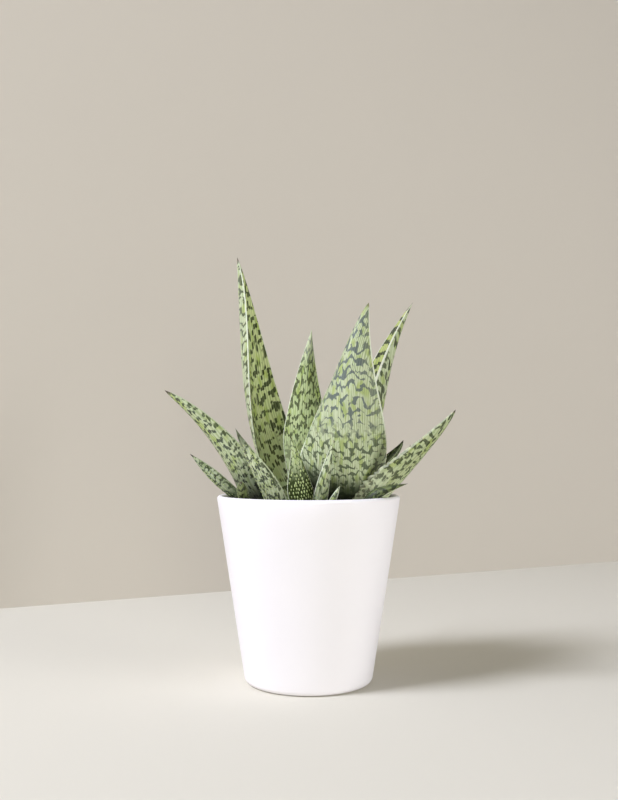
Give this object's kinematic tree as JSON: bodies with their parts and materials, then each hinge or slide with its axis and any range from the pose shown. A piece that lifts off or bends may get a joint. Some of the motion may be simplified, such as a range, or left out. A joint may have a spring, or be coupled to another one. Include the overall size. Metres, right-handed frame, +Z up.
{
  "type": "potted aloe plant",
  "caption": "Clump of thick, toothed, spotted aloe leaves growing out of soil in a plain white tapered ceramic pot.",
  "frame": {"origin": "centre of the flat underside that the pot stands on", "axes": "+Z up along the pot's axis; the front of the plant looks along -Y; +X to the right seen from the front"},
  "size_m": [0.186, 0.1314, 0.283],
  "materials": {
    "glaze": "satin white glaze",
    "soil": "rough, crumbly",
    "stem": "matte",
    "leaf": "waxy satin, spotted"
  },
  "bodies": {
    "root": {"pot": "glaze", "soil": "soil", "stem_main": "stem", "stem_left": "stem", "stem_right": "stem", "stem_front": "stem", "leaf_tall": "leaf", "leaf_middle": "leaf", "leaf_broad": "leaf", "leaf_right_back": "leaf", "leaf_long_left": "leaf", "leaf_left_front": "leaf", "leaf_left_low": "leaf", "leaf_left_bud": "leaf", "leaf_front_centre": "leaf", "leaf_front_narrow": "leaf", "leaf_front_tiny": "leaf", "leaf_right_low": "leaf", "leaf_right_lowest": "leaf", "leaf_right_dark": "leaf", "leaf_right_small": "leaf", "leaf_back": "leaf", "leaf_back_left": "leaf", "leaf_back_right": "leaf", "leaf_heart": "leaf"}
  },
  "joints": []
}
